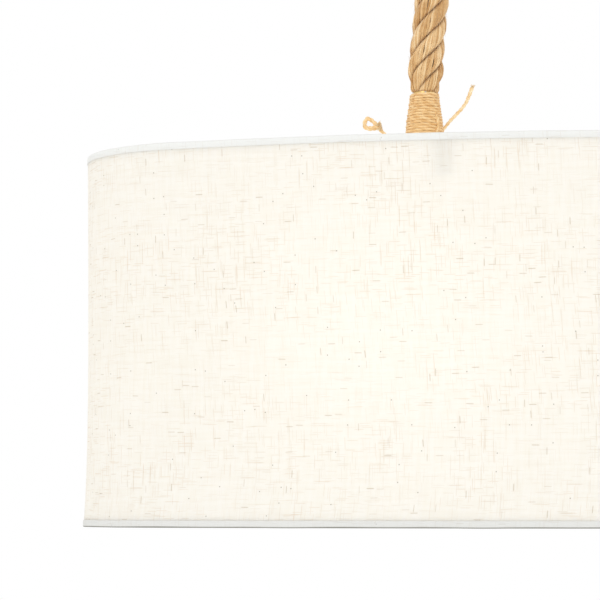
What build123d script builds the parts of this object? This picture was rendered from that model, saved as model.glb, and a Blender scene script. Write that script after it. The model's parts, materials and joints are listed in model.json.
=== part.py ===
"""Oval linen drum shade hung from a ceiling canopy on two bound jute ropes.

Millimetres. The origin is the middle of the canopy's ceiling face, +Z up, and X runs
along the oval's long axis. Everything hangs below z = 0.
"""

from build123d import *
import math
import os

# ---- driving dimensions --------------------------------------------------------------

SHADE_LENGTH = 988.0  # outside, at the top edge
SHADE_DEPTH = 376.0
SHADE_HEIGHT = 305.0
SHADE_END_RADIUS = 110.0  # of the small arcs at the oval's two ends
BOTTOM_FLARE = 1.5  # how much larger the bottom edge is, all round
LINEN_THICKNESS = 0.6
LINER_THICKNESS = 0.6
HEM_HEIGHT = 5.5
RING_WIRE_RADIUS = 2.5

ROPE_SPACING = 425.0  # between the two bottom pivots
ROPE_LEAN = 13.0  # how far each rope leans in from its bottom pivot to its top pivot
ROPE_RISE = 190.0  # height of the top pivots over the bottom pivots
ROPE_RADIUS = 13.5
ROPE_BORE = 3.0
FLEX_RADIUS = 2.5
TWINE_RADIUS = 1.3

CANOPY_LENGTH = 500.0
CANOPY_WIDTH = 84.0
CANOPY_DEPTH = 26.0
CANOPY_WALL = 1.2
TOP_PIVOT_BELOW_CEILING = 40.0
SHADE_TOP_BELOW_BOTTOM_PIVOT = 56.0

BULB_RADIUS = 30.0
BULB_LENGTH = 106.0

RUNNING_CLEARANCE = 0.05

# ---- heights and places worked out from them -----------------------------------------

Z_TOP_PIVOT = -TOP_PIVOT_BELOW_CEILING
Z_BOTTOM_PIVOT = Z_TOP_PIVOT - ROPE_RISE
Z_SHADE_TOP = Z_BOTTOM_PIVOT - SHADE_TOP_BELOW_BOTTOM_PIVOT
Z_SHADE_BOTTOM = Z_SHADE_TOP - SHADE_HEIGHT

X_BOTTOM_PIVOT = ROPE_SPACING / 2
X_TOP_PIVOT = X_BOTTOM_PIVOT - ROPE_LEAN
ROPE_SPAN = math.hypot(ROPE_LEAN, ROPE_RISE)  # pivot to pivot
LEAN_ANGLE = math.degrees(math.atan2(ROPE_LEAN, ROPE_RISE))

SIDES = {"left": -1, "right": 1}

# ---- general shapes ------------------------------------------------------------------


def turned(profile):
    """A closed (radius, height) outline turned about the Z axis."""
    points = [(radius, 0, height) for radius, height in profile]
    face = make_face(Polyline(*points, close=True).edges())
    return revolve(face, Axis.Z, 360)


def upright(radius, low, high, x=0.0, y=0.0):
    """A vertical round bar between two heights."""
    bar = Cylinder(radius, high - low, align=(Align.CENTER, Align.CENTER, Align.MIN))
    return Pos(x, y, low) * bar


def bar_along(axis, radius, start, end):
    """A round bar on the X or Y axis between two signed distances."""
    turn = Rot(0, 90, 0) if axis == "X" else Rot(-90, 0, 0)
    bar = Cylinder(radius, end - start, align=(Align.CENTER, Align.CENTER, Align.MIN))
    return turn * (Pos(0, 0, start) * bar)


def block(low, high):
    """A box from its lowest to its highest corner."""
    size = [b - a for a, b in zip(low, high)]
    middle = [(a + b) / 2 for a, b in zip(low, high)]
    return Pos(*middle) * Box(*size)


def oval(inset, z, flare=0.0):
    """The shade's outline at height z: two long arcs joined by two small end arcs."""
    grow = flare - inset
    a = SHADE_LENGTH / 2 + grow
    b = SHADE_DEPTH / 2 + grow
    end = SHADE_END_RADIUS + grow
    long = ((a - end) ** 2 + b**2 - end**2) / (2 * (b - end))
    end_x = a - end
    long_y = long - b
    reach = math.hypot(end_x, long_y)
    join_x = end_x + end * end_x / reach
    join_y = end * long_y / reach
    front = ThreePointArc((-join_x, -join_y, z), (0, -b, z), (join_x, -join_y, z))
    right = ThreePointArc((join_x, -join_y, z), (a, 0, z), (join_x, join_y, z))
    back = ThreePointArc((join_x, join_y, z), (0, b, z), (-join_x, join_y, z))
    left = ThreePointArc((-join_x, join_y, z), (-a, 0, z), (-join_x, -join_y, z))
    return Wire([front.edge(), right.edge(), back.edge(), left.edge()])


def half_depth(x):
    """Half the outside depth of the shade's top edge at a place along its length."""
    b = SHADE_DEPTH / 2
    end_x = SHADE_LENGTH / 2 - SHADE_END_RADIUS
    long = (end_x**2 + b**2 - SHADE_END_RADIUS**2) / (2 * (b - SHADE_END_RADIUS))
    return b - long + math.sqrt(long**2 - x**2)


def flare_at(z):
    """How much the shade has widened from its top edge down to height z."""
    return BOTTOM_FLARE * (Z_SHADE_TOP - z) / SHADE_HEIGHT


def shade_wall(outer_inset, inner_inset, high, low):
    """A thin wall of the shade between two heights, flaring with it."""
    outside = loft([Face(oval(outer_inset, z, flare_at(z))) for z in (high, low)], ruled=True)
    inside = loft([Face(oval(inner_inset, z, flare_at(z))) for z in (high, low)], ruled=True)
    return outside - inside


def rope_frame(side):
    """Place for pieces drawn with the top pivot at zero and the rope running down -Z."""
    return Location((side * X_TOP_PIVOT, 0, Z_TOP_PIVOT), (0, -side * LEAN_ANGLE, 0))


# ---- ceiling pieces ------------------------------------------------------------------

BRACKET_LENGTH = 440.0
BRACKET_WIDTH = 24.0
BRACKET_THICKNESS = 2.0
SLOT_SPACING = 300.0
SLOT_LENGTH = 12.0
SLOT_RADIUS = 2.6
STUD_SPACING = 180.0
STUD_RADIUS = 2.0
STUD_TIP = -36.0
CANOPY_NUT_RADIUS = 6.0
CANOPY_NUT_HEIGHT = 7.0
Z_CANOPY_FLOOR = -CANOPY_DEPTH + CANOPY_WALL

HOUSING_BORE = 18.0
HOUSING_RADIUS = 21.5
HOUSING_TOP = -18.0
HOUSING_BOTTOM = Z_TOP_PIVOT - 7.0
HOUSING_FLANGE_RADIUS = 25.0
HOUSING_FLANGE_THICKNESS = 3.0
HOUSING_NUT_RADIUS = 26.0
HOUSING_NUT_HEIGHT = 5.0

TERMINAL_SIZE = (40.0, 18.0, 14.0)
TERMINAL_SCREW_RADIUS = 1.8


def ceiling_bracket():
    plate = block(
        (-BRACKET_LENGTH / 2, -BRACKET_WIDTH / 2, -BRACKET_THICKNESS),
        (BRACKET_LENGTH / 2, BRACKET_WIDTH / 2, 0),
    )
    plate = fillet(plate.edges().filter_by(Axis.Z), 5)
    for side in SIDES.values():
        slot = extrude(SlotOverall(SLOT_LENGTH, 2 * SLOT_RADIUS), BRACKET_THICKNESS * 2, both=True)
        plate -= Pos(side * SLOT_SPACING / 2, 0, 0) * slot
        plate -= upright(STUD_RADIUS, -BRACKET_THICKNESS * 2, 1, side * STUD_SPACING / 2)
    return plate


def canopy():
    pan = extrude(SlotOverall(CANOPY_LENGTH, CANOPY_WIDTH), -CANOPY_DEPTH)
    pan = fillet(pan.faces().sort_by(Axis.Z)[0].edges(), 5)
    wall = 2 * CANOPY_WALL
    hollow = extrude(SlotOverall(CANOPY_LENGTH - wall, CANOPY_WIDTH - wall), Z_CANOPY_FLOOR)
    hollow = fillet(hollow.faces().sort_by(Axis.Z)[0].edges(), 5 - CANOPY_WALL)
    pan -= hollow
    for side in SIDES.values():
        pan -= upright(HOUSING_RADIUS, -40, -10, side * X_TOP_PIVOT)
        pan -= upright(STUD_RADIUS + 0.3, -40, -10, side * STUD_SPACING / 2)
    return pan


def canopy_studs():
    return [upright(STUD_RADIUS, STUD_TIP, 0, side * STUD_SPACING / 2) for side in SIDES.values()]


def canopy_nuts():
    """Knurled brass thumb nuts, one on each stud, with a flute round the rim."""
    nuts = []
    for side in SIDES.values():
        nut = upright(CANOPY_NUT_RADIUS, -CANOPY_DEPTH - CANOPY_NUT_HEIGHT, -CANOPY_DEPTH)
        nut = fillet(nut.edges().filter_by(GeomType.CIRCLE), 0.8)
        flutes = 20
        for index in range(flutes):
            turn = Rot(0, 0, 360 * index / flutes)
            nut -= turn * upright(0.45, -CANOPY_DEPTH - 6, -CANOPY_DEPTH - 1, CANOPY_NUT_RADIUS)
        nut -= upright(STUD_RADIUS, -50, 0)
        nuts.append(Pos(side * STUD_SPACING / 2, 0, 0) * nut)
    return nuts


def swivel_housing(side):
    flange_top = -CANOPY_DEPTH
    flange_bottom = flange_top - HOUSING_FLANGE_THICKNESS
    body = turned(
        [
            (HOUSING_BORE, HOUSING_TOP),
            (HOUSING_RADIUS, HOUSING_TOP),
            (HOUSING_RADIUS, flange_top),
            (HOUSING_FLANGE_RADIUS, flange_top),
            (HOUSING_FLANGE_RADIUS, flange_bottom + 1),
            (HOUSING_FLANGE_RADIUS - 1, flange_bottom),
            (HOUSING_RADIUS, flange_bottom),
            (HOUSING_RADIUS, HOUSING_BOTTOM + 1),
            (HOUSING_RADIUS - 1, HOUSING_BOTTOM),
            (HOUSING_BORE, HOUSING_BOTTOM),
        ]
    )
    reach = HOUSING_RADIUS + 1
    bore = bar_along("X", GIMBAL_PIN_RADIUS + RUNNING_CLEARANCE, -reach, reach)
    body -= Pos(0, 0, Z_TOP_PIVOT) * bore
    return Pos(side * X_TOP_PIVOT, 0, 0) * body


def housing_nuts():
    nuts = []
    for side in SIDES.values():
        ring = extrude(RegularPolygon(HOUSING_NUT_RADIUS, 6), HOUSING_NUT_HEIGHT)
        ring -= upright(HOUSING_RADIUS, -1, HOUSING_NUT_HEIGHT + 1)
        nuts.append(Pos(side * X_TOP_PIVOT, 0, Z_CANOPY_FLOOR) * ring)
    return nuts


def terminal_block():
    length, width, height = TERMINAL_SIZE
    top = -BRACKET_THICKNESS
    body = block((-length / 2, -width / 2, top - height), (length / 2, width / 2, top))
    body = fillet(body.edges().filter_by(Axis.Y), 1.5)
    for index in (-1, 0, 1):
        for row in (-1, 1):
            body -= upright(TERMINAL_SCREW_RADIUS, top - height - 1, top - 6, index * 12, row * 5)
    for side in SIDES.values():
        socket = bar_along("X", FLEX_RADIUS, length / 2 - 6, length / 2 + 1)
        body -= Rot(0, 0, 90 - 90 * side) * (Pos(0, 0, Z_TERMINAL_ENTRY) * socket)
    return body


def terminal_screws():
    height = TERMINAL_SIZE[2]
    low = -BRACKET_THICKNESS - height
    screws = []
    for index in (-1, 0, 1):
        for row in (-1, 1):
            screw = upright(TERMINAL_SCREW_RADIUS, low + 0.5, low + 6)
            screw -= block((-3, -0.3, low), (3, 0.3, low + 1.2))
            screws.append(Pos(index * 12, row * 5, 0) * screw)
    return screws


Z_TERMINAL_ENTRY = -9.0
FLEX_FEED_END = 8.0  # above the top pivot
FLEX_BEND = 15.0


def flex_feed(side):
    """Flex from the terminal block, past the stud and down into the swivel housing."""
    start = TERMINAL_SIZE[0] / 2 - 6
    route = [
        (start, 0, Z_TERMINAL_ENTRY),
        (start + 18, 0, Z_TERMINAL_ENTRY),
        (start + 50, 11, Z_TERMINAL_ENTRY + 1),
        (X_TOP_PIVOT - 60, 11, Z_TERMINAL_ENTRY + 1),
        (X_TOP_PIVOT - 28, 0.5, Z_TERMINAL_ENTRY + 1),
        (X_TOP_PIVOT, 0, Z_TERMINAL_ENTRY + 1),
        (X_TOP_PIVOT, 0, Z_TOP_PIVOT + FLEX_FEED_END),
    ]
    radii = bend_radii(route)
    radii[-1] = min(radii[-1], FLEX_BEND)
    tube = tube_along(route, FLEX_RADIUS, radii, "flex_feed")
    return mirror(tube, Plane.YZ) if side < 0 else tube


# ---- cord tubes ----------------------------------------------------------------------


def bend_radii(route):
    """For each corner, the largest arc that its two runs have room for."""
    points = [Vector(*point) for point in route]
    radii = []
    for before, corner, after in zip(points, points[1:], points[2:]):
        shorter = min((corner - before).length, (after - corner).length)
        half_turn = math.radians((corner - before).get_angle(after - corner)) / 2
        radii.append(0.45 * shorter / math.tan(half_turn))
    return radii


def tube_along(route, radius, radii, label):
    """A round tube whose straight runs are joined by tangent arcs."""
    path = FilletPolyline(*route, radius=radii)
    start = path.position_at(0)
    section = Plane(origin=start, z_dir=path.tangent_at(0)) * Circle(radius)
    tube = sweep(section, path=path)
    share = tube.volume / (math.pi * radius**2 * path.length)
    shown = ", ".join(f"{value:.1f}" for value in radii)
    print(f"{label}: length {path.length:.1f}, volume share {share:.4f}, radii {shown}")
    return tube


# ---- gimbals at the canopy -----------------------------------------------------------

GIMBAL_BORE = 11.5
GIMBAL_RADIUS = 15.5
GIMBAL_HALF_HEIGHT = 4.0
GIMBAL_PIN_RADIUS = 2.0
COLLAR_PIN_RADIUS = 1.6
COLLAR_RADIUS = 9.0
COLLAR_BORE = 3.5
COLLAR_NECK_RADIUS = 6.5


def gimbal_ring(side):
    low = Z_TOP_PIVOT - GIMBAL_HALF_HEIGHT
    high = Z_TOP_PIVOT + GIMBAL_HALF_HEIGHT
    ring = turned([(GIMBAL_BORE, low), (GIMBAL_RADIUS, low), (GIMBAL_RADIUS, high), (GIMBAL_BORE, high)])
    ring = fillet(ring.edges().filter_by(GeomType.CIRCLE), 0.6)
    reach = GIMBAL_RADIUS + 1
    ring -= Pos(0, 0, Z_TOP_PIVOT) * bar_along("X", GIMBAL_PIN_RADIUS, -reach, reach)
    running = COLLAR_PIN_RADIUS + RUNNING_CLEARANCE
    ring -= Pos(0, 0, Z_TOP_PIVOT) * bar_along("Y", running, -reach, reach)
    return Pos(side * X_TOP_PIVOT, 0, 0) * ring


def gimbal_pins():
    pins = []
    for side in SIDES.values():
        for end in (-1, 1):
            low, high = sorted((end * (GIMBAL_BORE + 0.5), end * (HOUSING_RADIUS - 0.5)))
            pin = bar_along("X", GIMBAL_PIN_RADIUS, low, high)
            pins.append(Pos(side * X_TOP_PIVOT, 0, Z_TOP_PIVOT) * pin)
    return pins


# ---- pieces on each rope, drawn with the top pivot at zero ---------------------------

COLLAR_TOP = 5.0
CUP_TOP = -13.0
CUP_PLATE = 4.0
CUP_BOTTOM = -40.0
CUP_RADIUS = 15.2
TOP_WHIPPING_BOTTOM = -62.0
TOP_WHIPPING_RADIUS = 15.6
ROPE_TOP = CUP_TOP - CUP_PLATE
BALL_RADIUS = 7.5
NECK_RADIUS = 6.3
NECK_FOOT_RISE = 3.0  # over the bottom pivot
NECK_RISE = 4.8
SHOULDER_RISE = 9.0
SOCKET_PIN_RADIUS = 1.3
SOCKET_PIN_PLAY = {-1: RUNNING_CLEARANCE, 1: 0.5}  # the right pivot is the linkage's loose one
FLEX_CORE_TOP = 4.0
FLEX_CORE_BELOW_PIVOT = 7.0


def swivel_collar(side):
    body = turned(
        [
            (COLLAR_BORE, COLLAR_TOP),
            (COLLAR_RADIUS - 0.8, COLLAR_TOP),
            (COLLAR_RADIUS, COLLAR_TOP - 0.8),
            (COLLAR_RADIUS, -5.2),
            (COLLAR_RADIUS - 0.8, -6),
            (COLLAR_NECK_RADIUS, -6),
            (COLLAR_NECK_RADIUS, ROPE_TOP),
            (COLLAR_BORE, ROPE_TOP),
        ]
    )
    for end in (-1, 1):
        low, high = sorted((end * (COLLAR_RADIUS - 3), end * (COLLAR_RADIUS + 1)))
        body -= bar_along("Y", COLLAR_PIN_RADIUS, low, high)
    return rope_frame(side) * body


def collar_pins(side):
    pins = []
    for end in (-1, 1):
        low, high = sorted((end * (COLLAR_RADIUS - 3), end * (GIMBAL_RADIUS - 0.5)))
        pins.append(rope_frame(side) * bar_along("Y", COLLAR_PIN_RADIUS, low, high))
    return pins


def rope_cup(side):
    body = turned(
        [
            (COLLAR_NECK_RADIUS, CUP_TOP),
            (CUP_RADIUS - 4, CUP_TOP),
            (CUP_RADIUS, CUP_TOP - 4),
            (CUP_RADIUS, CUP_BOTTOM),
            (ROPE_RADIUS, CUP_BOTTOM),
            (ROPE_RADIUS, ROPE_TOP),
            (COLLAR_NECK_RADIUS, ROPE_TOP),
        ]
    )
    return rope_frame(side) * body


def top_whipping(side):
    body = turned(
        [
            (ROPE_RADIUS, CUP_BOTTOM),
            (TOP_WHIPPING_RADIUS, CUP_BOTTOM),
            (TOP_WHIPPING_RADIUS, TOP_WHIPPING_BOTTOM + 1),
            (TOP_WHIPPING_RADIUS - 1, TOP_WHIPPING_BOTTOM),
            (ROPE_RADIUS, TOP_WHIPPING_BOTTOM),
        ]
    )
    return rope_frame(side) * body


def rope(side):
    """The jute rope round its flex, its end set hard into a ball that swivels on two pins."""
    shaft = turned(
        [
            (0, ROPE_TOP),
            (ROPE_RADIUS, ROPE_TOP),
            (ROPE_RADIUS, -ROPE_SPAN + SHOULDER_RISE),
            (NECK_RADIUS, -ROPE_SPAN + NECK_RISE),
            (NECK_RADIUS, -ROPE_SPAN + NECK_FOOT_RISE),
            (0, -ROPE_SPAN + NECK_FOOT_RISE),
        ]
    )
    ball = Pos(0, 0, -ROPE_SPAN) * Sphere(BALL_RADIUS)
    whole = shaft + ball
    whole -= upright(ROPE_BORE, -ROPE_SPAN - 20, 0)
    pin_bore = SOCKET_PIN_RADIUS + SOCKET_PIN_PLAY[side]
    whole -= Pos(0, 0, -ROPE_SPAN) * bar_along("Y", pin_bore, -BALL_RADIUS - 1, BALL_RADIUS + 1)
    return rope_frame(side) * whole


def flex_core(side):
    low = -ROPE_SPAN - FLEX_CORE_BELOW_PIVOT
    return rope_frame(side) * upright(FLEX_RADIUS, low, FLEX_CORE_TOP)


# ---- binding, socket and stem, fixed to the shade ------------------------------------

SEAT_RADIUS = 8.0  # of the hollow ball seat
WHIPPING_TOP = Z_BOTTOM_PIVOT + 2.0
WHIPPING_TOP_RADIUS = 12.0
WHIPPING_SHOULDER = Z_SHADE_TOP + 25.0
WHIPPING_BASE = Z_SHADE_TOP + 10.0
WHIPPING_BASE_RADIUS = 15.3
SOCKET_TOP = Z_BOTTOM_PIVOT + SOCKET_PIN_RADIUS + 0.2
SOCKET_TOP_RADIUS = WHIPPING_TOP_RADIUS - 2 * TWINE_RADIUS
SOCKET_BASE_RADIUS = WHIPPING_BASE_RADIUS - 2 * TWINE_RADIUS
SOCKET_PIN_START = ROPE_BORE + 1.5
SOCKET_PIN_END = SOCKET_TOP_RADIUS - 0.1
STEM_RADIUS = 5.0
STEM_BORE = 3.4
STEM_TOP = Z_BOTTOM_PIVOT - 20.0
STEM_BOTTOM = Z_SHADE_TOP - 56.0
HUB_DROP = 38.0
HUB_RADIUS = 16.0
HUB_THICKNESS = 3.0
STRAP_WIDTH = 12.0
STRAP_THICKNESS = 2.0
WELD_GAP = 0.2  # between a strap's flat end and the ring's round wire
STEM_NUT_HEIGHT = 4.0
STEM_NUT_ACROSS_CORNERS = 16.2


def at_stem(side, shape):
    return Pos(side * X_BOTTOM_PIVOT, 0, 0) * shape


def ball_seat():
    return Pos(0, 0, Z_BOTTOM_PIVOT) * Sphere(SEAT_RADIUS)


def whipping(side):
    body = turned(
        [
            (0, WHIPPING_TOP),
            (WHIPPING_TOP_RADIUS, WHIPPING_TOP),
            (WHIPPING_BASE_RADIUS, WHIPPING_SHOULDER),
            (WHIPPING_BASE_RADIUS, WHIPPING_BASE),
            (SOCKET_BASE_RADIUS, WHIPPING_BASE),
            (SOCKET_BASE_RADIUS, WHIPPING_SHOULDER),
            (SOCKET_TOP_RADIUS, SOCKET_TOP),
            (0, SOCKET_TOP),
        ]
    )
    return at_stem(side, body - ball_seat())


def rope_socket(side):
    """Turned socket inside the binding, screwed on the stem, with the ball's seat in its top."""
    body = turned(
        [
            (0, SOCKET_TOP),
            (SOCKET_TOP_RADIUS, SOCKET_TOP),
            (SOCKET_BASE_RADIUS, WHIPPING_SHOULDER),
            (SOCKET_BASE_RADIUS, WHIPPING_BASE),
            (0, WHIPPING_BASE),
        ]
    )
    body -= ball_seat()
    body -= upright(STEM_BORE, STEM_TOP - 1, SOCKET_TOP + 1)
    body -= upright(STEM_RADIUS, WHIPPING_BASE - 1, STEM_TOP)
    reach = SOCKET_TOP_RADIUS + 1
    pin_bore = Pos(0, 0, Z_BOTTOM_PIVOT) * bar_along("Y", SOCKET_PIN_RADIUS, -reach, reach)
    return at_stem(side, body - pin_bore)


def socket_pins():
    """Stub pins that hold each rope's ball in its socket, two on each side of the lamp."""
    pins = []
    for side in SIDES.values():
        for end in (-1, 1):
            low, high = sorted((end * SOCKET_PIN_START, end * SOCKET_PIN_END))
            pin = bar_along("Y", SOCKET_PIN_RADIUS, low, high)
            pins.append(at_stem(side, Pos(0, 0, Z_BOTTOM_PIVOT) * pin))
    return pins


def stem(side):
    tube = upright(STEM_RADIUS, STEM_BOTTOM, STEM_TOP) - upright(STEM_BORE, STEM_BOTTOM - 1, STEM_TOP + 1)
    return at_stem(side, tube)


def stem_nuts():
    nuts = []
    hub_top = Z_SHADE_TOP - HUB_DROP + HUB_THICKNESS / 2
    hub_bottom = hub_top - HUB_THICKNESS
    for side in SIDES.values():
        for low in (hub_top, hub_bottom - STEM_NUT_HEIGHT):
            nut = extrude(RegularPolygon(STEM_NUT_ACROSS_CORNERS / 2, 6), STEM_NUT_HEIGHT)
            nut -= upright(STEM_RADIUS, -1, STEM_NUT_HEIGHT + 1)
            nuts.append(at_stem(side, Pos(0, 0, low) * nut))
    return nuts


def flex_drop(side):
    return at_stem(side, upright(FLEX_RADIUS, HOLDER_CAP_BOTTOM + 3, Z_BOTTOM_PIVOT - SEAT_RADIUS - 1))


def crossbar(side):
    """A flat strap from ring to ring, cranked down at both ends to a hub on the stem."""
    half = STRAP_WIDTH / 2
    ring_inner = half_depth(X_BOTTOM_PIVOT + half) - RING_INSET - RING_WIRE_RADIUS
    outer = ring_inner - WELD_GAP
    inner = outer - STRAP_THICKNESS
    top = Z_SHADE_TOP - HEM_LIP
    strap_top = Z_SHADE_TOP - HUB_DROP + STRAP_THICKNESS / 2
    strap_bottom = strap_top - STRAP_THICKNESS
    bar = block((-half, -outer, strap_bottom), (half, outer, strap_top))
    for end in (-1, 1):
        low, high = sorted((end * inner, end * outer))
        bar += block((-half, low, strap_bottom), (half, high, top))
    bends = bar.edges().filter_by(Axis.X).group_by(Axis.Z)[0]
    bar = fillet(bends, 1.9)
    hub_low = Z_SHADE_TOP - HUB_DROP - HUB_THICKNESS / 2
    bar += upright(HUB_RADIUS, hub_low, hub_low + HUB_THICKNESS)
    bar -= upright(STEM_RADIUS + 0.1, hub_low - 1, hub_low + HUB_THICKNESS + 1)
    return at_stem(side, bar)


# ---- shade ---------------------------------------------------------------------------

WALL = LINEN_THICKNESS + LINER_THICKNESS
RING_INSET = WALL + RING_WIRE_RADIUS + 0.1
HEM_LIP = 0.8


def ring(z):
    """A wire ring just inside the wall, centred at height z."""
    path = oval(RING_INSET, z, flare_at(z))
    start = path.position_at(0)
    section = Plane(origin=start, z_dir=path.tangent_at(0)) * Circle(RING_WIRE_RADIUS)
    return sweep(section, path=path)


def ring_top():
    return ring(Z_SHADE_TOP - HEM_LIP - RING_WIRE_RADIUS)


def ring_bottom():
    return ring(Z_SHADE_BOTTOM + HEM_LIP + RING_WIRE_RADIUS)


def shade_liner():
    return shade_wall(LINEN_THICKNESS, WALL, Z_SHADE_TOP - HEM_LIP, Z_SHADE_BOTTOM + HEM_LIP)


def shade_linen():
    return shade_wall(0, LINEN_THICKNESS, Z_SHADE_TOP - HEM_HEIGHT, Z_SHADE_BOTTOM + HEM_HEIGHT)


def hem(edge, inward):
    """Linen turned over the wall's edge. inward is +1 where the wall lies above the edge."""
    far = edge + inward * HEM_HEIGHT
    lip = edge + inward * HEM_LIP
    high, low = max(edge, far), min(edge, far)
    outer = shade_wall(0, LINEN_THICKNESS, high, low)
    high, low = max(edge, lip), min(edge, lip)
    return outer + shade_wall(0, WALL + RING_WIRE_RADIUS, high, low)


# ---- lampholders and bulbs -----------------------------------------------------------

HOLDER_CAP_TOP = Z_SHADE_TOP - 48.0
HOLDER_CAP_BOTTOM = Z_SHADE_TOP - 66.0
HOLDER_RADIUS = 20.0
HOLDER_BOTTOM = Z_SHADE_TOP - 98.0
HOLDER_ROOF = 4.0
INSERT_RADIUS = 14.4
INSERT_BORE = 13.5
BULB_TOP = HOLDER_CAP_BOTTOM - HOLDER_ROOF - 1.0
BULB_BOTTOM = BULB_TOP - BULB_LENGTH
BULB_CAP_RADIUS = 13.0
BULB_CAP_LENGTH = 27.0
BULB_CENTRE = BULB_BOTTOM + BULB_RADIUS
BULB_GLASS = 1.0


def lampholder_cap(side):
    body = turned(
        [
            (STEM_RADIUS, HOLDER_CAP_TOP),
            (9, HOLDER_CAP_TOP),
            (10, HOLDER_CAP_TOP - 1),
            (10, HOLDER_CAP_TOP - 5),
            (17, HOLDER_CAP_TOP - 9),
            (HOLDER_RADIUS, HOLDER_CAP_TOP - 14),
            (HOLDER_RADIUS, HOLDER_CAP_BOTTOM),
            (HOLDER_RADIUS - 2, HOLDER_CAP_BOTTOM),
            (HOLDER_RADIUS - 2, HOLDER_CAP_TOP - 14),
            (15.5, HOLDER_CAP_TOP - 11),
            (STEM_RADIUS, HOLDER_CAP_TOP - 8),
        ]
    )
    return at_stem(side, body)


def lampholder_body(side):
    low = HOLDER_BOTTOM
    body = turned(
        [
            (0, HOLDER_CAP_BOTTOM),
            (HOLDER_RADIUS, HOLDER_CAP_BOTTOM),
            (HOLDER_RADIUS, low + 12),
            (HOLDER_RADIUS + 2, low + 10),
            (HOLDER_RADIUS + 2, low + 6),
            (HOLDER_RADIUS, low + 4),
            (HOLDER_RADIUS - 1, low),
            (INSERT_RADIUS, low),
            (INSERT_RADIUS, HOLDER_CAP_BOTTOM - HOLDER_ROOF),
            (0, HOLDER_CAP_BOTTOM - HOLDER_ROOF),
        ]
    )
    body -= upright(FLEX_RADIUS, HOLDER_BOTTOM, HOLDER_CAP_BOTTOM + 1)
    return at_stem(side, body)


def lampholder_insert(side):
    high = HOLDER_CAP_BOTTOM - HOLDER_ROOF
    return at_stem(
        side,
        upright(INSERT_RADIUS, HOLDER_BOTTOM + 1, high) - upright(INSERT_BORE, HOLDER_BOTTOM, high + 1),
    )


def bulb_globe(side):
    """A hollow pear-shaped glass, open at its neck."""
    neck_top = BULB_TOP - BULB_CAP_LENGTH - 0.5
    neck_radius = 12.6
    join_angle = math.radians(48)
    join_radius = BULB_RADIUS * math.sin(join_angle)
    join_z = BULB_CENTRE + BULB_RADIUS * math.cos(join_angle)

    def solid(thickness):
        cone = turned(
            [
                (0, neck_top),
                (neck_radius - thickness, neck_top),
                (neck_radius + 0.6 - thickness, neck_top - 6),
                (join_radius - thickness, join_z),
                (0, join_z),
            ]
        )
        return cone + Pos(0, 0, BULB_CENTRE) * Sphere(BULB_RADIUS - thickness)

    return at_stem(side, solid(0) - solid(BULB_GLASS))


def bulb_cap(side):
    low = BULB_TOP - BULB_CAP_LENGTH
    body = turned(
        [
            (0, BULB_TOP),
            (4.5, BULB_TOP),
            (5.5, BULB_TOP - 2),
            (BULB_CAP_RADIUS - 1, BULB_TOP - 5),
            (BULB_CAP_RADIUS, BULB_TOP - 7),
            (BULB_CAP_RADIUS, low),
            (BULB_CAP_RADIUS - 1, low),
            (BULB_CAP_RADIUS - 1, BULB_TOP - 8),
            (0, BULB_TOP - 8),
        ]
    )
    return at_stem(side, body)


def bulb_filament(side):
    """Glass mount with a ring of upright filaments, all joined at a top and bottom disc."""
    top = BULB_TOP - BULB_CAP_LENGTH + 4
    high = BULB_CENTRE + 24
    low = BULB_CENTRE - 14
    body = upright(3.5, high, top) + upright(1.2, low, high)
    body += upright(9, high - 2, high) + upright(9, low, low + 1.5)
    filaments = 6
    for index in range(filaments):
        body += Rot(0, 0, 360 * index / filaments) * upright(0.9, low, high, 8)
    return at_stem(side, body)


# ---- loose ends of the binding twine -------------------------------------------------

# Routes are (x, y, z) from the rope's bottom axis and the shade's top edge.
TAIL_ROUTE = [
    (14.6, -1.0, 25.0),
    (18.5, -1.5, 30.5),
    (25.5, -2.5, 38.0),
    (31.5, -3.0, 46.0),
    (36.5, -2.5, 55.5),
    (40.0, -2.0, 65.0),
]
CURL_ROUTE = [
    (-14.4, -2.0, 20.6),
    (-21.0, -4.0, 17.5),
    (-31.0, -5.0, 19.0),
    (-38.5, -4.0, 26.0),
    (-44.0, -2.0, 34.5),
    (-51.5, 0.5, 33.0),
    (-50.5, 2.5, 24.5),
    (-42.0, 3.5, 23.0),
    (-35.5, 3.0, 28.5),
]


def twine_end(side, route, label):
    placed = [(side * X_BOTTOM_PIVOT + x, y, Z_SHADE_TOP + z) for x, y, z in route]
    tube = tube_along(placed, TWINE_RADIUS, bend_radii(placed), label)
    return tube - whipping(side)


# ---- all nodes -----------------------------------------------------------------------


def nodes():
    shapes = {
        "ceiling_bracket": ceiling_bracket(),
        "canopy": canopy(),
        "canopy_studs": canopy_studs(),
        "canopy_nuts": canopy_nuts(),
        "housing_nuts": housing_nuts(),
        "terminal_block": terminal_block(),
        "terminal_screws": terminal_screws(),
        "gimbal_pins": gimbal_pins(),
        "socket_pins": socket_pins(),
        "stem_nuts": stem_nuts(),
        "ring_top": ring_top(),
        "ring_bottom": ring_bottom(),
        "shade_liner": shade_liner(),
        "shade_linen": shade_linen(),
        "hem_top": hem(Z_SHADE_TOP, -1),
        "hem_bottom": hem(Z_SHADE_BOTTOM, 1),
    }
    pieces = [
        swivel_housing,
        flex_feed,
        gimbal_ring,
        swivel_collar,
        collar_pins,
        rope_cup,
        top_whipping,
        rope,
        flex_core,
        whipping,
        rope_socket,
        stem,
        crossbar,
        flex_drop,
        lampholder_cap,
        lampholder_body,
        lampholder_insert,
        bulb_globe,
        bulb_cap,
        bulb_filament,
    ]
    for name, side in SIDES.items():
        for piece in pieces:
            shapes[f"{piece.__name__}_{name}"] = piece(side)
        shapes[f"twine_tail_{name}"] = twine_end(side, TAIL_ROUTE, f"twine_tail_{name}")
        shapes[f"twine_curl_{name}"] = twine_end(side, CURL_ROUTE, f"twine_curl_{name}")
    return shapes


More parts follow.
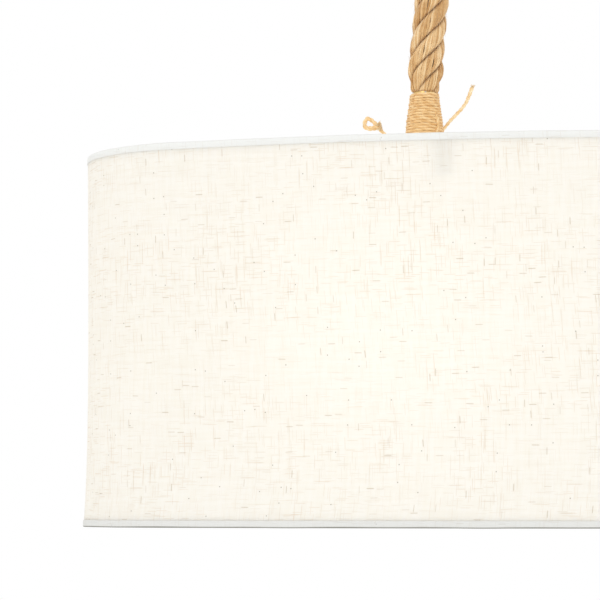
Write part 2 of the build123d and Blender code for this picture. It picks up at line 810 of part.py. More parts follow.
os.makedirs("parts", exist_ok=True)
for node, shape in nodes().items():
    solids = Compound(shape) if isinstance(shape, list) else shape
    export_step(solids, f"parts/{node}.step")
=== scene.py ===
"""Looks of the oval linen pendant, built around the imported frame. Metres, +Z up, front at -Y."""

import json
import math
import random
from collections import namedtuple

import bpy
import numpy as np
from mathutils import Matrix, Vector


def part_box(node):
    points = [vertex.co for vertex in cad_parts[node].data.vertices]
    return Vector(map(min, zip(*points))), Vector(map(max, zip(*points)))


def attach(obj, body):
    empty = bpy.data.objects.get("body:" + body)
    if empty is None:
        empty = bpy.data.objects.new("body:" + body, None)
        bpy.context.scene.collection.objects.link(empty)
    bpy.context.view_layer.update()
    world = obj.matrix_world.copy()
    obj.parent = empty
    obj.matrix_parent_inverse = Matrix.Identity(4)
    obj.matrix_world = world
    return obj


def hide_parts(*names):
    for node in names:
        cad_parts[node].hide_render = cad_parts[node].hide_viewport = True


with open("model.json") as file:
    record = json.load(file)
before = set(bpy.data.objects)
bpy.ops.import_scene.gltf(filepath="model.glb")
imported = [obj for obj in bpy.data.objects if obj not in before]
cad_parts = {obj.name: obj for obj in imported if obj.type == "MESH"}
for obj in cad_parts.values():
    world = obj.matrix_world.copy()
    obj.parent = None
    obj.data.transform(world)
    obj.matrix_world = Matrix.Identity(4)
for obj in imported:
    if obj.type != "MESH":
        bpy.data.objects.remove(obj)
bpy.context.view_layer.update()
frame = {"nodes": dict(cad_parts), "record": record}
NODES = frame["nodes"]

# ---- places taken from the frame -----------------------------------------------------

HEM_TOP_LOW, HEM_TOP_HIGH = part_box("hem_top")
HEM_BOTTOM_LOW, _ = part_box("hem_bottom")
STEM_LOW, STEM_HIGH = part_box("stem_left")
WHIP_LOW, WHIP_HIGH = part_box("whipping_left")
BULB_LOW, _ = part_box("bulb_globe_left")
GIMBAL_LOW, GIMBAL_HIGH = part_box("gimbal_ring_left")

SHADE_TOP = HEM_TOP_HIGH.z
SHADE_BOTTOM = HEM_BOTTOM_LOW.z
SHADE_HEIGHT = SHADE_TOP - SHADE_BOTTOM
HALF_LENGTH = (HEM_TOP_HIGH.x - HEM_TOP_LOW.x) / 2
HALF_DEPTH = (HEM_TOP_HIGH.y - HEM_TOP_LOW.y) / 2
STEM_X = -(STEM_LOW.x + STEM_HIGH.x) / 2
SWIVEL_X = -(GIMBAL_LOW.x + GIMBAL_HIGH.x) / 2
SWIVEL_Z = (GIMBAL_LOW.z + GIMBAL_HIGH.z) / 2
WHIP_TOP = WHIP_HIGH.z
WHIP_BASE = WHIP_LOW.z
SIDES = {"left": -1, "right": 1}

# ---- camera --------------------------------------------------------------------------

CAMERA_PLACE = (-0.400, -2.120, -0.572)
CAMERA_PITCH = math.radians(4.55)
CAMERA_YAW = math.radians(2.24)
SENSOR_MM = 36.0
LENS_MM = 153.42

camera_data = bpy.data.cameras.new("camera")
camera_data.sensor_width = SENSOR_MM
camera_data.lens = LENS_MM
camera = bpy.data.objects.new("camera", camera_data)
camera.location = CAMERA_PLACE
camera.rotation_euler = (math.pi / 2 + CAMERA_PITCH, 0, -CAMERA_YAW)
bpy.context.scene.collection.objects.link(camera)
bpy.context.scene.camera = camera

# ---- mesh tools ----------------------------------------------------------------------


class Build:
    """Gathers shapes into one mesh, with a UV in metres of length and turns round."""

    def __init__(self):
        self.points = []
        self.faces = []
        self.uvs = []
        self.tones = []
        self.hollows = None

    def add(self, points, faces, uvs, tone=0.5):
        first = len(self.points)
        self.points.extend(map(tuple, points))
        self.faces.extend([tuple(first + i for i in face) for face in faces])
        self.uvs.extend(uvs)
        self.tones.extend([tone] * len(points))

    def shade_hollows(self, axis, surface, depth):
        """Marks points by how deep they lie under a round, nearly upright surface, for the painted shade in
        the hollows.
        """
        points = np.array(self.points)
        order = np.argsort(axis[:, 2])
        heights = axis[order, 2]
        x = points[:, 0] - np.interp(points[:, 2], heights, axis[order, 0])
        y = points[:, 1] - np.interp(points[:, 2], heights, axis[order, 1])
        outside = np.interp(points[:, 2], heights, surface[order])
        self.hollows = np.clip((outside - np.hypot(x, y)) / depth, 0, 1)

    def object(self, name, material):
        mesh = bpy.data.meshes.new(name)
        mesh.from_pydata(self.points, [], self.faces)
        layer = mesh.uv_layers.new(name="length_round")
        layer.data.foreach_set("uv", np.array(self.uvs, np.float32).ravel())
        tone = mesh.attributes.new("tone", "FLOAT", "POINT")
        tone.data.foreach_set("value", np.array(self.tones, np.float32))
        if self.hollows is not None:
            hollow = mesh.attributes.new("hollow", "FLOAT", "POINT")
            hollow.data.foreach_set("value", self.hollows.astype(np.float32))
        mesh.polygons.foreach_set("use_smooth", [True] * len(mesh.polygons))
        mesh.materials.append(material)
        piece = bpy.data.objects.new(name, mesh)
        bpy.context.scene.collection.objects.link(piece)
        return piece


def arc_lengths(path):
    steps = np.linalg.norm(np.diff(path, axis=0), axis=1)
    return np.concatenate([[0], np.cumsum(steps)])


def resample(path, step):
    """The same line with points a set distance apart."""
    along = arc_lengths(path)
    count = max(2, int(round(along[-1] / step)) + 1)
    wanted = np.linspace(0, along[-1], count)
    return np.column_stack([np.interp(wanted, along, path[:, k]) for k in range(3)])


NEARLY_PARALLEL = 0.8  # cosine from which a line counts as running along X


def carried_frames(path):
    """Tangent, normal and binormal at each point, with the normal carried without twist."""
    tangents = np.gradient(path, axis=0)
    tangents /= np.linalg.norm(tangents, axis=1)[:, None]
    start_along_x = abs(tangents[0][0]) >= NEARLY_PARALLEL
    normal = np.array([0, 1.0, 0]) if start_along_x else np.array([1.0, 0, 0])
    normals = np.empty_like(path)
    for index, tangent in enumerate(tangents):
        normal = normal - tangent * np.dot(normal, tangent)
        normal = normal / np.linalg.norm(normal)
        normals[index] = normal
    return tangents, normals, np.cross(tangents, normals)


def tube(build, path, radius, sides=8, tone=0.5, capped=True):
    """A round tube along path. radius is one number or one for each point."""
    path = np.asarray(path, float)
    count = len(path)
    radius = np.broadcast_to(np.asarray(radius, float), (count,))
    _, normals, binormals = carried_frames(path)
    turn = np.linspace(0, 2 * math.pi, sides, endpoint=False)
    ring = np.cos(turn)[None, :, None] * normals[:, None] + np.sin(turn)[None, :, None] * binormals[:, None]
    points = (path[:, None] + radius[:, None, None] * ring).reshape(-1, 3)
    along = arc_lengths(path)
    faces, uvs = [], []
    for i in range(count - 1):
        for j in range(sides):
            k = (j + 1) % sides
            faces.append((i * sides + j, i * sides + k, (i + 1) * sides + k, (i + 1) * sides + j))
            low, high = j / sides, (j + 1) / sides
            uvs += [(along[i], low), (along[i], high), (along[i + 1], high), (along[i + 1], low)]
    if capped:
        faces.append(tuple(reversed(range(sides))))
        faces.append(tuple(range((count - 1) * sides, count * sides)))
        uvs += [(along[0], 0.5)] * sides + [(along[-1], 0.5)] * sides
    build.add(points, faces, uvs, tone)


def cells(rows, columns):
    """Corner numbers of each cell of a grid of points: here, beside, past that, and below."""
    for row in range(rows):
        for column in range(columns - 1):
            here = row * columns + column
            yield here, here + 1, here + columns + 1, here + columns


WANDER_WAVES = 4
WANDER_SCALE = 1.5  # brings the waves' sum to about the amount asked for


def wander(rng, count, swings, amount):
    """A smooth random line of numbers about zero."""
    place = np.linspace(0, 1, count)
    total = np.zeros(count)
    for wave in range(1, WANDER_WAVES + 1):
        phase = rng.uniform(0, 2 * math.pi)
        total += np.sin(2 * math.pi * swings * wave * place + phase) / wave
    return amount * total / WANDER_SCALE


ROUTE_FINENESS = 24  # points of the line for each of its control points


def smooth_line(name, route):
    """Points of the smooth line that a route's control points make."""
    curve = bpy.data.curves.new(name, "CURVE")
    curve.dimensions = "3D"
    curve.resolution_u = ROUTE_FINENESS
    spline = curve.splines.new("NURBS")
    spline.points.add(len(route) - 1)
    for point, place in zip(spline.points, route):
        point.co = (*place, 1)
    spline.order_u = 3
    spline.use_endpoint_u = True
    holder = bpy.data.objects.new(name, curve)
    bpy.context.scene.collection.objects.link(holder)
    mesh = bpy.data.meshes.new_from_object(holder)
    points = np.array([vertex.co[:] for vertex in mesh.vertices])
    bpy.data.objects.remove(holder)
    bpy.data.meshes.remove(mesh)
    return points


# ---- material tools ------------------------------------------------------------------


class Nodes:
    """A short way to write a material's nodes."""

    def __init__(self, name):
        self.material = bpy.data.materials.new(name)
        self.material.use_nodes = True
        self.tree = self.material.node_tree
        self.tree.nodes.clear()
        self.output = self.tree.nodes.new("ShaderNodeOutputMaterial")

    def new(self, kind, **settings):
        node = self.tree.nodes.new(kind)
        for key, value in settings.items():
            setattr(node, key, value)
        return node

    def put(self, socket, value):
        if hasattr(value, "is_output"):
            self.tree.links.new(value, socket)
        else:
            socket.default_value = value

    def maths(self, operation, *values, clamp=False):
        node = self.new("ShaderNodeMath", operation=operation, use_clamp=clamp)
        for socket, value in zip(node.inputs, values):
            self.put(socket, value)
        return node.outputs[0]

    def vector(self, x=0.0, y=0.0, z=0.0):
        node = self.new("ShaderNodeCombineXYZ")
        for socket, value in zip(node.inputs, (x, y, z)):
            self.put(socket, value)
        return node.outputs[0]

    def split(self, vector):
        node = self.new("ShaderNodeSeparateXYZ")
        self.put(node.inputs[0], vector)
        return node.outputs

    def uv(self):
        return self.new("ShaderNodeTexCoord").outputs["UV"]

    def place(self):
        return self.new("ShaderNodeTexCoord").outputs["Object"]

    def attribute(self, name):
        return self.new("ShaderNodeAttribute", attribute_name=name).outputs["Fac"]

    def noise(self, vector, scale, detail=2.0, rough=0.5):
        node = self.new("ShaderNodeTexNoise")
        self.put(node.inputs["Vector"], vector)
        self.put(node.inputs["Scale"], scale)
        self.put(node.inputs["Detail"], detail)
        self.put(node.inputs["Roughness"], rough)
        return node.outputs["Fac"]

    def white(self, vector):
        node = self.new("ShaderNodeTexWhiteNoise", noise_dimensions="3D")
        self.put(node.inputs["Vector"], vector)
        return node.outputs["Value"], self.split(node.outputs["Color"])

    def ramp(self, value, low, high, to_low=0.0, to_high=1.0, smooth=True):
        node = self.new("ShaderNodeMapRange")
        node.interpolation_type = "SMOOTHSTEP" if smooth else "LINEAR"
        for socket, number in zip(node.inputs, (value, low, high, to_low, to_high)):
            self.put(socket, number)
        return node.outputs[0]

    def mix(self, factor, first, second, blend="MIX"):
        node = self.new("ShaderNodeMix", data_type="RGBA", blend_type=blend)
        self.put(node.inputs["Factor"], factor)
        self.put(node.inputs[6], first)
        self.put(node.inputs[7], second)
        return node.outputs[2]

    def stretched(self, vector, x, y, z=1.0):
        node = self.new("ShaderNodeMapping")
        self.put(node.inputs["Vector"], vector)
        node.inputs["Scale"].default_value = (x, y, z)
        return node.outputs[0]

    def bump(self, height, strength, distance):
        node = self.new("ShaderNodeBump")
        node.inputs["Strength"].default_value = strength
        node.inputs["Distance"].default_value = distance
        self.put(node.inputs["Height"], height)
        return node.outputs[0]

    def principled(self, colour, roughness, **more):
        node = self.new("ShaderNodeBsdfPrincipled")
        self.put(node.inputs["Base Color"], colour)
        self.put(node.inputs["Roughness"], roughness)
        for name, value in more.items():
            self.put(node.inputs[name.replace("_", " ")], value)
        return node.outputs[0]

    def shader(self, kind, colour, normal=None, **more):
        node = self.new(kind)
        self.put(node.inputs["Color"], colour)
        if normal is not None:
            self.put(node.inputs["Normal"], normal)
        for name, value in more.items():
            self.put(node.inputs[name.replace("_", " ")], value)
        return node.outputs[0]

    def mixed(self, factor, first, second):
        node = self.new("ShaderNodeMixShader")
        self.put(node.inputs[0], factor)
        self.put(node.inputs[1], first)
        self.put(node.inputs[2], second)
        return node.outputs[0]

    def finish(self, surface):
        self.put(self.output.inputs["Surface"], surface)
        return self.material


def rgb(r, g, b):
    """A colour given in 0 to 255 screen values, taken off the sRGB curve."""
    linear = [((c / 255 + 0.055) / 1.055) ** 2.4 if c > 10 else c / 255 / 12.92 for c in (r, g, b)]
    return (*linear, 1.0)


# ---- linen ---------------------------------------------------------------------------

CLOTH_THIN = rgb(250, 248, 243)
CLOTH_THICK = rgb(253, 252, 249)
STREAK_WARM = rgb(222, 182, 134)
STREAK_GREY = rgb(186, 172, 150)
SHORT_STREAK = rgb(170, 144, 106)
SEED_FLECK = rgb(116, 104, 88)
# The next two colours are painted shade on the hems: a cooler grey for the doubled cloth and the darkening at
# its fold.
HEM_SHADE_GREY = rgb(243, 245, 243)
FOLD_SHADE = rgb(150, 148, 140)
LINER_DULL = rgb(250, 249, 244)
LINER_CLEAN = rgb(255, 254, 251)
LINER_CLEAR = rgb(255, 250, 240)

# A kind of streak, in metres: how far apart its rows are, the length of cloth that may hold one
# dash, the share of those lengths that do, the dash's width, and the seed of its random numbers.
Streak = namedtuple("Streak", "pitch cell share width seed")
FINE_LEVEL = Streak(0.0014, 0.013, 0.30, 0.0008, 3.1)
FINE_UPRIGHT = Streak(0.0014, 0.016, 0.34, 0.0008, 7.7)
MIDDLING_LEVEL = Streak(0.0030, 0.018, 0.13, 0.0009, 12.3)
MIDDLING_UPRIGHT = Streak(0.0030, 0.025, 0.17, 0.0009, 19.9)
SHORT_LEVEL = Streak(0.0040, 0.008, 0.035, 0.0009, 31.3)
SHORT_UPRIGHT = Streak(0.0044, 0.008, 0.032, 0.0009, 43.9)
ROW_SHIFT = 37.0  # the most that one row of dashes is shifted against another, in cells

FINE_STRENGTH = (0.08, 0.26)  # where the cloth is even, and where it is worn
MIDDLING_STRENGTH = (0.12, 0.34)
SHORT_STRENGTH = 0.46
FLECK_STRENGTH = 0.60
WORN_SPAN = (0.35, 0.65)
FLECKS_PER_METRE = 120.0
FLECK_SHARE = 0.07
FLECK_SIZE = 0.00062

UPRIGHT_THREAD_PITCH = 0.00062
LEVEL_THREAD_PITCH = 0.00055
THREAD_WOBBLE = 0.0030
LEAN_START = 0.12  # distance down the cloth where its upright threads start to lean
LEAN = 0.07
RELIEF_STRENGTH = 0.35
RELIEF_DEPTH = 0.00025
THROUGH_LINEN = 0.42  # share of the light that passes
THROUGH_HEM = 0.08
LINER_SHEEN = 0.45


def streaks(n, along, across, kind):
    """Thin random dashes along one thread direction. Gives how strong, from 0 to 1."""
    rows = n.maths("DIVIDE", across, kind.pitch)
    row = n.maths("FLOOR", rows)
    start, _ = n.white(n.vector(row, kind.seed, 0.5))
    places = n.maths("ADD", n.maths("DIVIDE", along, kind.cell), n.maths("MULTIPLY", start, ROW_SHIFT))
    place = n.maths("FLOOR", places)
    chance, picks = n.white(n.vector(place, row, kind.seed))
    there = n.maths("GREATER_THAN", chance, 1 - kind.share)
    middle = n.maths("MULTIPLY_ADD", picks[1], 0.5, 0.25)
    off_line = n.maths("ABSOLUTE", n.maths("SUBTRACT", n.maths("FRACT", rows), middle))
    line = n.ramp(off_line, kind.width / kind.pitch * 0.5, kind.width / kind.pitch * 0.15)
    reach = n.maths("MULTIPLY_ADD", picks[0], 0.33, 0.12)
    off_place = n.maths("ABSOLUTE", n.maths("SUBTRACT", n.maths("FRACT", places), 0.5))
    run = n.ramp(n.maths("DIVIDE", off_place, reach), 1.0, 0.55)
    strength = n.maths("MULTIPLY_ADD", picks[2], 0.65, 0.35)
    return n.maths("MULTIPLY", n.maths("MULTIPLY", there, line), n.maths("MULTIPLY", run, strength))


def specks(n, vector, scale, share, size):
    """Small dark seed flecks."""
    node = n.new("ShaderNodeTexVoronoi", voronoi_dimensions="2D")
    n.put(node.inputs["Vector"], vector)
    n.put(node.inputs["Scale"], scale)
    chosen = n.maths("GREATER_THAN", n.split(node.outputs["Color"])[0], 1 - share)
    dot = n.ramp(node.outputs["Distance"], size * scale, size * scale * 0.4)
    return n.maths("MULTIPLY", chosen, dot)


def thread_places(n):
    """Places round and down the cloth, and the same two as the wavering threads run."""
    u, v, _ = n.split(n.uv())
    wobble = n.maths("MULTIPLY_ADD", n.noise(n.uv(), 22.0, 2.0), THREAD_WOBBLE, -THREAD_WOBBLE / 2)
    level = n.maths("ADD", v, wobble)
    past_start = n.maths("MAXIMUM", n.maths("SUBTRACT", v, LEAN_START), 0.0)
    upright = n.maths("ADD", n.maths("SUBTRACT", u, n.maths("MULTIPLY", past_start, LEAN)), wobble)
    return u, v, level, upright


def crossed_streaks(n, places, level_kind, upright_kind):
    """One kind of streak along the level threads and one along the upright threads."""
    u, v, level, upright = places
    return n.maths("MAXIMUM", streaks(n, u, level, level_kind), streaks(n, v, upright, upright_kind))


def thread_bands(n):
    """Soft broad bands where threads are thicker, both ways."""
    upright = n.noise(n.stretched(n.uv(), 300.0, 26.0), 1.0, 2.0)
    level = n.noise(n.stretched(n.uv(), 22.0, 330.0), 1.0, 2.0)
    return n.maths("ADD", upright, level)


def weave_relief(n, u, v, fine, middling):
    """How high the woven threads and the slubs stand."""
    upright = n.maths("SINE", n.maths("MULTIPLY", u, 2 * math.pi / UPRIGHT_THREAD_PITCH))
    level = n.maths("SINE", n.maths("MULTIPLY", v, 2 * math.pi / LEVEL_THREAD_PITCH))
    slubs = n.maths("ADD", n.maths("MULTIPLY", fine, 0.9), n.maths("MULTIPLY", middling, 2.2))
    return n.maths("MULTIPLY_ADD", n.maths("ADD", upright, level), 0.35, slubs)


def linen_colours(n):
    """The cloth's colour and its thread relief, in metres of cloth."""
    places = thread_places(n)
    fine = crossed_streaks(n, places, FINE_LEVEL, FINE_UPRIGHT)
    middling = crossed_streaks(n, places, MIDDLING_LEVEL, MIDDLING_UPRIGHT)
    short = crossed_streaks(n, places, SHORT_LEVEL, SHORT_UPRIGHT)
    flecks = specks(n, n.uv(), FLECKS_PER_METRE, FLECK_SHARE, FLECK_SIZE)
    worn = n.noise(n.uv(), 14.0, 3.0)

    warm = n.mix(n.noise(n.uv(), 60.0, 1.0), STREAK_WARM, STREAK_GREY)
    cloth = n.mix(n.ramp(thread_bands(n), 0.70, 1.30), CLOTH_THIN, CLOTH_THICK)
    fine_here = n.maths("MULTIPLY", fine, n.ramp(worn, *WORN_SPAN, *FINE_STRENGTH))
    cloth = n.mix(fine_here, cloth, warm)
    middling_here = n.maths("MULTIPLY", middling, n.ramp(worn, *WORN_SPAN, *MIDDLING_STRENGTH))
    cloth = n.mix(middling_here, cloth, warm)
    cloth = n.mix(n.maths("MULTIPLY", short, SHORT_STRENGTH), cloth, SHORT_STREAK)
    cloth = n.mix(n.maths("MULTIPLY", flecks, FLECK_STRENGTH), cloth, SEED_FLECK)
    return cloth, weave_relief(n, places[0], places[1], fine, middling)


def linen_material():
    n = Nodes("linen")
    cloth, relief = linen_colours(n)
    normal = n.bump(relief, RELIEF_STRENGTH, RELIEF_DEPTH)
    front = n.shader("ShaderNodeBsdfDiffuse", cloth, normal)
    through = n.shader("ShaderNodeBsdfTranslucent", cloth)
    return n.finish(n.mixed(THROUGH_LINEN, front, through))


def hem_material():
    """Doubled linen: it lets much less light through. Its cloth is mixed half with a cooler grey, painted
    shade of the doubled cloth, and the fold's edge and the bottom hem are darkened with painted shade.
    """
    n = Nodes("linen_hem")
    cloth, relief = linen_colours(n)
    tone = n.attribute("tone")
    # painted shade: the doubled cloth is greyed, then darkened by the fold's tone
    grey_shaded_cloth = n.mix(0.50, cloth, HEM_SHADE_GREY)
    shaded = n.mix(n.ramp(tone, 0.0, 1.0), grey_shaded_cloth, FOLD_SHADE)
    front = n.shader("ShaderNodeBsdfDiffuse", shaded, n.bump(relief, RELIEF_STRENGTH, RELIEF_DEPTH))
    through = n.shader("ShaderNodeBsdfTranslucent", shaded)
    return n.finish(n.mixed(THROUGH_HEM, front, through))


def liner_material():
    """Thin milky backing sheet. Lamp light passes it, softened."""
    n = Nodes("liner_styrene")
    mottle = n.noise(n.uv(), 18.0, 2.0)
    colour = n.mix(mottle, LINER_DULL, LINER_CLEAN)
    sheen = n.principled(colour, n.ramp(mottle, 0.2, 0.8, 0.34, 0.46), Specular_IOR_Level=0.4)
    clear = n.shader("ShaderNodeBsdfTransparent", LINER_CLEAR)
    return n.finish(n.mixed(LINER_SHEEN, clear, sheen))


# ---- other materials -----------------------------------------------------------------

FIBRES_PER_METRE = 110.0
COIL_PITCH = 0.0022  # of the filaments' bright and dim bands
FILAMENT_STRENGTH = 3.0


def jute_material(name, light, mid, dark, deep, fibres):
    """Twisted plant fibre: streaks run along each yarn, and the hollows between are darkened with painted
    shade.
    """
    n = Nodes(name)
    strands = n.noise(n.stretched(n.uv(), FIBRES_PER_METRE, fibres), 1.0, 5.0, 0.72)
    patches = n.noise(n.place(), 120.0, 3.0)
    shade = n.maths("ADD", n.maths("MULTIPLY", strands, 0.70), n.maths("MULTIPLY", n.attribute("tone"), 0.30))
    colour = n.mix(n.ramp(shade, 0.30, 0.50), dark, mid)
    colour = n.mix(n.ramp(shade, 0.48, 0.66), colour, light)
    colour = n.mix(n.ramp(patches, 0.58, 0.78, 0.0, 0.40), colour, dark)
    # painted shade: points deep in the hollows between yarns and strands go towards the deep colour
    colour = n.mix(n.ramp(n.attribute("hollow"), 0.15, 1.0), colour, deep)
    normal = n.bump(strands, 0.9, 0.0005)
    rough = n.ramp(strands, 0.3, 0.7, 0.62, 0.82)
    surface = n.principled(colour, rough, Normal=normal, Sheen_Weight=0.25, Specular_IOR_Level=0.3)
    return n.finish(surface)


def brushed_metal(name, light, dark, rough, direction=(1, 1, 40)):
    n = Nodes(name)
    marks = n.noise(n.stretched(n.place(), *direction), 220.0, 3.0)
    wear = n.noise(n.place(), 60.0, 3.0)
    colour = n.mix(n.ramp(wear, 0.42, 0.72), light, dark)
    roughness = n.ramp(marks, 0.3, 0.7, rough - 0.07, rough + 0.10)
    normal = n.bump(marks, 0.12, 0.0002)
    return n.finish(n.principled(colour, roughness, Metallic=1.0, Normal=normal))


def painted_metal(name, colour, shade):
    n = Nodes(name)
    peel = n.noise(n.place(), 900.0, 2.0)
    dust = n.noise(n.place(), 26.0, 3.0)
    tint = n.mix(n.ramp(dust, 0.45, 0.75), colour, shade)
    roughness = n.ramp(peel, 0.3, 0.7, 0.42, 0.54)
    return n.finish(n.principled(tint, roughness, Normal=n.bump(peel, 0.15, 0.0002)))


def plastic(name, colour, shade, rough):
    n = Nodes(name)
    grain = n.noise(n.place(), 1400.0, 1.0)
    flow = n.noise(n.place(), 35.0, 2.0)
    tint = n.mix(n.ramp(flow, 0.4, 0.75), colour, shade)
    roughness = n.ramp(grain, 0.3, 0.7, rough - 0.05, rough + 0.06)
    return n.finish(n.principled(tint, roughness, Normal=n.bump(grain, 0.08, 0.0001)))


def glass_material():
    """Thin clear glass: it reflects at its edges and lets the lamp's light pass."""
    n = Nodes("bulb_glass")
    streak = n.noise(n.stretched(n.place(), 30.0, 30.0, 6.0), 1.0, 1.0)
    shine = n.shader("ShaderNodeBsdfGlossy", (1, 1, 1, 1), Roughness=0.02)
    clear = n.shader("ShaderNodeBsdfTransparent", n.mix(streak, rgb(250, 250, 247), rgb(255, 255, 254)))
    facing = n.new("ShaderNodeLayerWeight").outputs["Facing"]
    return n.finish(n.mixed(n.ramp(facing, 0.55, 1.0, 0.03, 0.30), clear, shine))


def filament_material():
    """Glowing wire, a little dimmer between the turns of its coil."""
    n = Nodes("bulb_filament")
    height = n.split(n.place())[2]
    bands = n.maths("SINE", n.maths("MULTIPLY", height, 2 * math.pi / COIL_PITCH))
    glow = n.mix(n.ramp(bands, -1.0, 1.0), rgb(255, 214, 150), rgb(255, 236, 196))
    lamp = n.new("ShaderNodeEmission")
    n.put(lamp.inputs["Color"], glow)
    lamp.inputs["Strength"].default_value = FILAMENT_STRENGTH
    return n.finish(lamp.outputs[0])


LINEN = linen_material()
HEM = hem_material()
LINER = liner_material()
# The fourth colour of each jute is the painted shade in its hollows.
ROPE = jute_material(
    "jute_rope", rgb(248, 218, 172), rgb(228, 187, 132), rgb(188, 138, 80), rgb(112, 64, 24), 8.0
)
TWINE = jute_material(
    "jute_twine", rgb(255, 238, 200), rgb(247, 210, 154), rgb(216, 165, 100), rgb(164, 112, 56), 6.0
)
BRASS = brushed_metal("brass", rgb(222, 188, 122), rgb(176, 138, 78), 0.30)
STEEL = brushed_metal("steel_pin", rgb(205, 205, 204), rgb(160, 160, 158), 0.32)
ZINC = brushed_metal("bracket_steel", rgb(198, 200, 202), rgb(168, 172, 176), 0.42, (30, 1, 1))
BULB_METAL = brushed_metal("bulb_metal", rgb(214, 214, 212), rgb(178, 178, 176), 0.28)
CANOPY_PAINT = painted_metal("canopy_paint", rgb(246, 244, 238), rgb(238, 235, 227))
FRAME_PAINT = painted_metal("frame_paint", rgb(244, 242, 236), rgb(232, 229, 220))
HOLDER = plastic("holder_plastic", rgb(244, 242, 235), rgb(236, 233, 224), 0.28)
TERMINAL = plastic("terminal_plastic", rgb(238, 238, 232), rgb(226, 226, 218), 0.45)
FLEX = plastic("flex_pvc", rgb(238, 235, 226), rgb(228, 224, 213), 0.40)
GLASS = glass_material()
FILAMENT = filament_material()

MATERIAL_OF_SLOT = {
    "bracket_steel": ZINC,
    "canopy_paint": CANOPY_PAINT,
    "brass": BRASS,
    "steel_pin": STEEL,
    "terminal_plastic": TERMINAL,
    "flex_pvc": FLEX,
    "jute_rope": ROPE,
    "jute_twine": TWINE,
    "frame_paint": FRAME_PAINT,
    "liner_styrene": LINER,
    "linen": LINEN,
    "linen_hem": HEM,
    "holder_plastic": HOLDER,
    "bulb_glass": GLASS,
    "bulb_metal": BULB_METAL,
    "bulb_filament": FILAMENT,
}


def dress_cad_nodes():
    for entry in frame["record"]["subparts"]:
        node = NODES[entry["node"]]
        node.data.materials.clear()
        node.data.materials.append(MATERIAL_OF_SLOT[entry["material_slot"]])


# ---- cords: the two ropes and the twine's loose ends ---------------------------------

# Routes are in metres from a rope's bottom pivot axis and the shade's top edge.
ROPE_ROUTE = [
    (0.0118, 0, 0.2290),
    (0.0096, 0, 0.1860),
    (0.0066, 0, 0.1370),
    (0.0030, 0, 0.1000),
    (0.0009, 0, 0.0740),
    (0.0002, 0, 0.0580),
    (0.0000, 0, 0.0490),
]
TAIL_ROUTE = [
    (0.0146, -0.0010, 0.0250),
    (0.0185, -0.0015, 0.0305),
    (0.0255, -0.0025, 0.0380),
    (0.0328, -0.0030, 0.0455),
    (0.0375, -0.0025, 0.0545),
    (0.0398, -0.0020, 0.0618),
]
CURL_ROUTE = [
    (-0.0144, -0.0020, 0.0206),
    (-0.0210, -0.0040, 0.0175),
    (-0.0310, -0.0050, 0.0190),
    (-0.0375, -0.0040, 0.0250),
    (-0.0425, -0.0020, 0.0325),
    (-0.0487, 0.0000, 0.0368),
    (-0.0512, 0.0000, 0.0288),
    (-0.0462, -0.0035, 0.0258),
    (-0.0395, -0.0048, 0.0278),
]
ROPE_LAY = 0.078
ROPE_PHASE = math.radians(17)
ROPE_STEP = 0.0016  # between one point and the next along the rope
STRANDS = 4
STRAND_REACH = math.radians(42)  # half the angle that one strand takes round the rope
STRAND_FULLNESS = 0.85  # under 1, a strand stands fuller than a cosine beside its crown
GROOVE_SHARE = 0.62  # the grooves' radius, as a share of the crown's
GROOVE_UNDERCUT = 0.55  # how far the strands' hidden sides go in, as a share of the grooves' radius
CORE_SHARE = 0.58  # the solid core's radius, as a share of the crown's
YARNS = 28
YARN_SPIN = -1.5  # turns for each turn of lay, so that a yarn stands nearly upright on the crown
YARN_SHARE = 0.080  # a yarn's radius, as a share of the crown's
ROPE_HAIRS = 620
ROPE_HAIR_LENGTH = 0.009
ROPE_ENDS_BARE = 14  # points at each end of the rope that carry no hairs
ROPE_HOLLOWS_START = 0.94  # the radius under which the rope darkens with painted shade, as a share of the crown's
ROPE_HOLLOW_DEPTH = 0.0042
CORE_SIDES = 16
YARN_SIDES = 6
HAIR_SIDES = 3
PLY_SIDES = 7
FIBRE_SIDES = 4
TWINE_DIAMETER = 0.0026
TWINE_STEP = 0.0008
TWINE_LAY = 0.0080  # length of one turn of its two plies
PLY_APART = 0.34  # how far a ply's middle is from the twine's, as a share of its radius
LOOSE_RADIUS = TWINE_DIAMETER * 0.56

# The rope's largest radius at heights over the shade's top edge, in three stretches.
ROPE_BALL = [(0.0490, 0.0022), (0.051, 0.0044), (0.053, 0.0059), (0.056, 0.0066), (0.0572, 0.0068)]
ROPE_SHOULDER = [
    (0.0580, 0.0108),
    (0.0590, 0.0119),
    (0.063, 0.0129),
    (0.068, 0.0140),
    (0.074, 0.0151),
    (0.080, 0.0152),
]
ROPE_SHANK = [(0.095, 0.0145), (0.165, 0.0145), (0.172, 0.0134), (0.230, 0.0132)]

# The fibres fanning out of a cut end: how many, how long, how wide they fan, and the size of
# their root. The curl's end is a crushed clump.
Frayed = namedtuple("Frayed", "number length spread scatter")

# Each loose end's name, its route, how far its two plies open and its fray.
LOOSE_ENDS = (
    ("tail", TAIL_ROUTE, 0.2, Frayed(26, 0.0042, 0.16, 0.0007)),
    ("curl", CURL_ROUTE, 0.9, Frayed(200, 0.0046, 0.28, 0.0021)),
)


def placed(route, side, hand=1):
    """A route moved to one side's stem. hand is -1 or 1, for the way its x runs."""
    return [(side * STEM_X + hand * x, y, SHADE_TOP + z) for x, y, z in route]


def crown_radius(height):
    """The rope's largest radius at a height over the shade's top edge."""
    heights, radii = zip(*ROPE_BALL, *ROPE_SHOULDER, *ROPE_SHANK)
    return np.interp(height, heights, radii)


